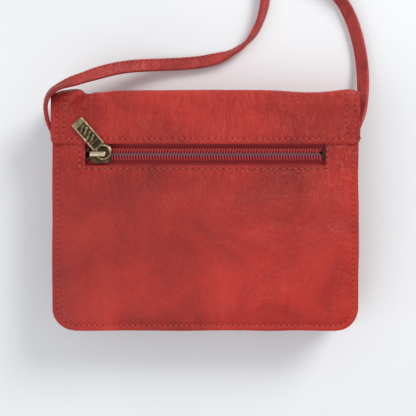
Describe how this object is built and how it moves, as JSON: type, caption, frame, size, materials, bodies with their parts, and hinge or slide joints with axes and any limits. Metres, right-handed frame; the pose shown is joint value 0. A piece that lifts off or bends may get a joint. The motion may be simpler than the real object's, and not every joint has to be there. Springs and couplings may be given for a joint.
{
  "type": "crossbody purse",
  "caption": "Small rectangular leather crossbody flap bag with a zipped back pocket and a long flat shoulder strap.",
  "frame": {"origin": "middle of the face that the bag rests on, its flap, under the middle of the bag without its strap", "axes": "+X along the zip, towards its open end; +Y towards the fold at the top of the bag; +Z out of the back panel"},
  "size_m": [0.227, 0.3048, 0.0413],
  "materials": {
    "red_leather": "soft pebbled aniline leather with a low sheen",
    "strap_leather": "folded and stitched leather strip, semi-gloss edges",
    "lining_leather": "thin smooth split leather",
    "lining_cloth": "dark maroon plain-woven lining",
    "stiffener_board": "bonded fibre board",
    "zip_tape": "dark maroon herringbone tape",
    "zip_teeth": "dark red nylon coil",
    "antique_brass": "antique brass, rubbed bright on edges, dark in recesses",
    "snap_metal": "antique brass plate"
  },
  "bodies": {
    "bag": {"back_panel": "red_leather", "front_panel": "red_leather", "mouth_binding": "red_leather", "front_pocket": "red_leather", "gusset_left": "red_leather", "gusset_right": "red_leather", "gusset_bottom": "red_leather", "main_lining": "lining_cloth", "zip_pocket_bag": "lining_cloth", "zip_tape_upper": "zip_tape", "zip_tape_lower": "zip_tape", "zip_coil_upper": "zip_teeth", "zip_coil_lower": "zip_teeth", "zip_top_stops": "antique_brass", "zip_bottom_stop": "antique_brass", "flap_rear": "red_leather", "snap_socket": "snap_metal", "snap_socket_washer": "snap_metal", "strap_end_left": "strap_leather", "strap_end_right": "strap_leather", "strap_left": "strap_leather", "strap_right": "strap_leather", "strap_roll": "strap_leather"},
    "spine": {"flap_spine": "red_leather"},
    "flap": {"flap_front": "red_leather", "flap_stiffener": "stiffener_board", "flap_lining": "lining_leather", "snap_stud": "snap_metal", "snap_stud_washer": "snap_metal"},
    "slider": {"slider": "antique_brass"},
    "pull": {"pull_tab": "antique_brass"}
  },
  "joints": [
    {"name": "spine_fold", "type": "hinge", "parent": "bag", "child": "spine", "pos_m": [0, 0.0716, 0.0324], "axis": [1, 0, 0], "range_deg": [0, 90], "deforming": ["strap_left"]},
    {"name": "flap_fold", "type": "hinge", "parent": "spine", "child": "flap", "pos_m": [0, 0.0716, 0.0007], "axis": [1, 0, 0], "range_deg": [0, 170]},
    {"name": "zip_slide", "type": "slide", "parent": "bag", "child": "slider", "axis": [1, 0, 0], "range_m": [0, 0.1264], "deforming": ["zip_coil_upper", "zip_coil_lower"]},
    {"name": "pull_swivel", "type": "hinge", "parent": "slider", "child": "pull", "pos_m": [-0.06005, 0.0336, 0.0343], "axis": [0, 0, 1], "range_deg": [-266, 8]}
  ]
}
